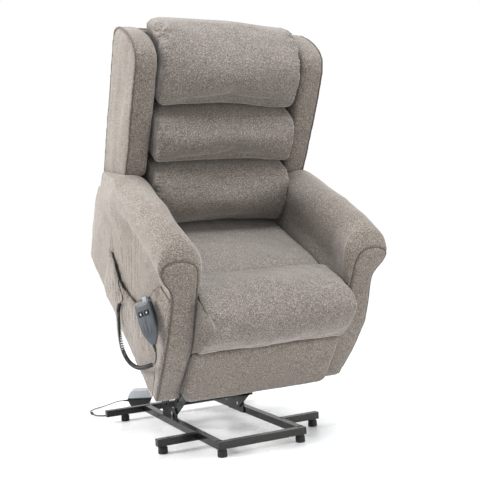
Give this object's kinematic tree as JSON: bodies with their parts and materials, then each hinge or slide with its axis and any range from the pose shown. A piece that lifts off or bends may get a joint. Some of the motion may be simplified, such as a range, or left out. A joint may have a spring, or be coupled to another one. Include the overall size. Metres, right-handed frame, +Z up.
{
  "type": "lift recliner chair",
  "caption": "Upholstered riser recliner with winged back, padded arms, legrest, side pocket and corded handset, tipped forward at the top of its lift on a square-tube base.",
  "frame": {"origin": "on the floor, at the middle of the chair's overall width (handset included) and overall depth, the power supply and the cords left out; the chair's own middle plane is at x = +17 mm", "axes": "+Z up; -Y is the front of the chair, +Y its back; +X is on the right of someone who looks at the front"},
  "size_m": [0.8584, 1.3025, 1.5171],
  "materials": {
    "black_steel": "black powder coat, satin",
    "zinc_steel": "dark zinc plated plate",
    "black_plastic": "fine matt texture",
    "grey_plastic": "light grey, matt",
    "black_rubber": "matt",
    "grey_cable": "grey-green cable sheath",
    "bright_steel": "bright zinc",
    "black_tube": "black anodised look",
    "handset_plastic": "blue-grey, fine texture",
    "clip_plastic": "pale silver",
    "button_plastic": "black",
    "ply": "bare plywood",
    "webbing": "black elastic webbing",
    "upholstery": "taupe marl weave",
    "cushion_cloth": "taupe marl weave over foam and fibre"
  },
  "bodies": {
    "base": {"base_side_rails": "black_steel", "base_cross_bars": "black_steel", "base_outriggers": "black_steel", "tube_end_caps": "black_plastic", "base_feet": "black_rubber", "lift_brackets": "black_steel", "base_pivot_pins": "bright_steel", "power_supply_lower_shell": "black_plastic", "power_supply_upper_shell": "grey_plastic", "power_supply_inlet": "black_plastic", "supply_strain_relief": "black_rubber", "supply_lead_a": "grey_cable", "supply_lead_plug": "black_plastic", "supply_lead_b": "black_rubber"},
    "front_link": {"front_lift_links": "black_steel", "lift_torque_tube": "black_steel"},
    "rear_link": {"rear_lift_links": "black_steel"},
    "actuator_body": {"actuator_motor_housing": "black_plastic", "actuator_tube": "black_tube"},
    "actuator_rod": {"actuator_rod": "bright_steel"},
    "chair": {"lift_plates": "black_steel", "lift_cross_tubes": "black_steel", "lift_upper_pins": "bright_steel", "actuator_top_cheeks": "black_steel", "seat_box_frame": "ply", "seat_hinge_plates": "zinc_steel", "seat_webbing": "webbing", "seat_cushion": "cushion_cloth", "chaise_pad": "cushion_cloth", "knee_pad": "cushion_cloth", "left_arm": "upholstery", "right_arm": "upholstery", "left_arm_panel": "upholstery", "right_arm_panel": "upholstery", "arm_frames": "ply", "arm_brackets": "black_steel", "side_pocket": "upholstery", "handset_front_shell": "handset_plastic", "handset_back_shell": "handset_plastic", "handset_clip": "clip_plastic", "handset_strain_relief": "black_rubber", "handset_cord_lead": "black_rubber", "handset_coil": "black_rubber", "handset_cord_tail": "black_rubber"},
    "button_up": {"handset_button_up": "button_plastic"},
    "button_down": {"handset_button_down": "button_plastic"},
    "legrest": {"legrest_board": "ply", "legrest_panel": "upholstery", "legrest_pad": "cushion_cloth", "legrest_hinges": "zinc_steel"},
    "crank": {"legrest_crank": "black_steel"},
    "coupler": {"legrest_coupler": "black_steel"},
    "back": {"back_frame": "ply", "back_brackets": "zinc_steel", "back_webbing": "webbing", "back_rear_cover": "upholstery", "back_wings": "upholstery", "lumbar_cushion": "cushion_cloth", "middle_cushion": "cushion_cloth", "head_cushion": "cushion_cloth"}
  },
  "joints": [
    {"name": "lift", "type": "hinge", "parent": "base", "child": "front_link", "pos_m": [0.017, 0.2108, 0.062], "axis": [1, 0, 0], "range_deg": [0, 21.9]},
    {"name": "chair_pivot", "type": "hinge", "parent": "front_link", "child": "chair", "pos_m": [0.017, -0.20316, 0.33301], "axis": [1, 0, 0], "range_deg": [-57.8, 0]},
    {"name": "rear_link_pivot", "type": "hinge", "parent": "base", "child": "rear_link", "pos_m": [0.017, 0.3158, 0.15], "axis": [1, 0, 0], "range_deg": [0, 26.7]},
    {"name": "actuator_pivot", "type": "hinge", "parent": "base", "child": "actuator_body", "pos_m": [0.017, 0.4608, 0.07], "axis": [1, 0, 0], "range_deg": [0, 22.4]},
    {"name": "actuator_stroke", "type": "slide", "parent": "actuator_body", "child": "actuator_rod", "axis": [0, -0.7686, 0.6398], "range_m": [-0.151, 0]},
    {"name": "back_recline", "type": "hinge", "parent": "chair", "child": "back", "pos_m": [0.017, 0.26238, 0.90243], "axis": [-1, 0, 0], "range_deg": [0, 40]},
    {"name": "legrest_lift", "type": "hinge", "parent": "chair", "child": "legrest", "pos_m": [0.017, -0.44456, 0.507], "axis": [-1, 0, 0], "range_deg": [0, 86], "deforming": ["knee_pad"]},
    {"name": "crank_pivot", "type": "hinge", "parent": "chair", "child": "crank", "pos_m": [0.017, -0.18382, 0.51042], "axis": [-1, 0, 0], "range_deg": [0, 86.2]},
    {"name": "coupler_pivot", "type": "hinge", "parent": "crank", "child": "coupler", "pos_m": [0.017, -0.00339, 0.3924], "axis": [-1, 0, 0], "range_deg": [-86.2, 0]},
    {"name": "press_up", "type": "slide", "parent": "chair", "child": "button_up", "axis": [0.76, 0.6385, -0.1213], "range_m": [0, 0.0012], "stiffness_N_per_m": 400, "springref_m": -0.0005},
    {"name": "press_down", "type": "slide", "parent": "chair", "child": "button_down", "axis": [0.76, 0.6385, -0.1213], "range_m": [0, 0.0012], "stiffness_N_per_m": 400, "springref_m": -0.0005}
  ],
  "couplings": [
    {"joint": "chair_pivot", "follows": "lift", "ratio": -2.6254},
    {"joint": "rear_link_pivot", "follows": "lift", "ratio": 1.2052},
    {"joint": "actuator_pivot", "follows": "lift", "ratio": 1.0149},
    {"joint": "actuator_stroke", "follows": "lift", "m_per_rad": -0.39089},
    {"joint": "crank_pivot", "follows": "legrest_lift", "ratio": 1},
    {"joint": "coupler_pivot", "follows": "legrest_lift", "ratio": -1}
  ]
}
